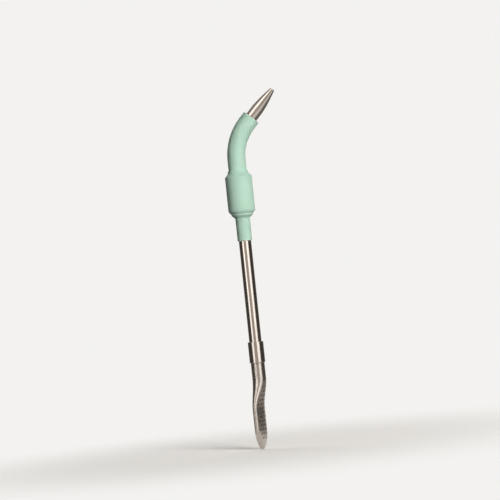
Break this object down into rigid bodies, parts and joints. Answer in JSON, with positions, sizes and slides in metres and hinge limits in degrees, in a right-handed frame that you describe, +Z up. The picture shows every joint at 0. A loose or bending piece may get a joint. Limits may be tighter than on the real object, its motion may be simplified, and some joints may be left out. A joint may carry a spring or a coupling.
{
  "type": "bombilla drinking straw",
  "caption": "Bent steel bombilla: a drinking straw with a flattened mouthpiece, a moulded mint grip sleeve and a perforated spoon strainer that unscrews for cleaning.",
  "frame": {"origin": "lowest point of the upright bombilla, on the axis of its straight tube, at the tip of the spoon strainer", "axes": "+Z up along the straight tube towards the mouth, +X the way the mouth end bends, +Y across the bend"},
  "size_m": [0.0299, 0.0138, 0.1862],
  "materials": {
    "polished_steel": "polished stainless steel with fine drawn lines",
    "turned_steel": "turned stainless steel",
    "mint_silicone": "matte moulded silicone, pale mint",
    "clear_silicone": "milky translucent silicone"
  },
  "bodies": {
    "strainer": {"filter_neck": "turned_steel", "spoon_front": "polished_steel", "spoon_back": "polished_steel"},
    "seal": {"seal_washer": "clear_silicone"},
    "straw": {"straw_tube": "polished_steel", "mouthpiece": "polished_steel", "grip_sleeve": "mint_silicone", "collar": "polished_steel"}
  },
  "joints": [
    {"name": "straw_lift", "type": "slide", "parent": "strainer", "child": "seal", "axis": [0, 0, 1], "range_m": [0, 0.00501]},
    {"name": "straw_unscrew", "type": "hinge", "parent": "seal", "child": "straw", "pos_m": [0, 0, 0.045], "axis": [0, 0, 1], "range_deg": [0, 1440]}
  ],
  "couplings": [
    {"joint": "straw_lift", "follows": "straw_unscrew", "m_per_rad": 0.00019894}
  ]
}
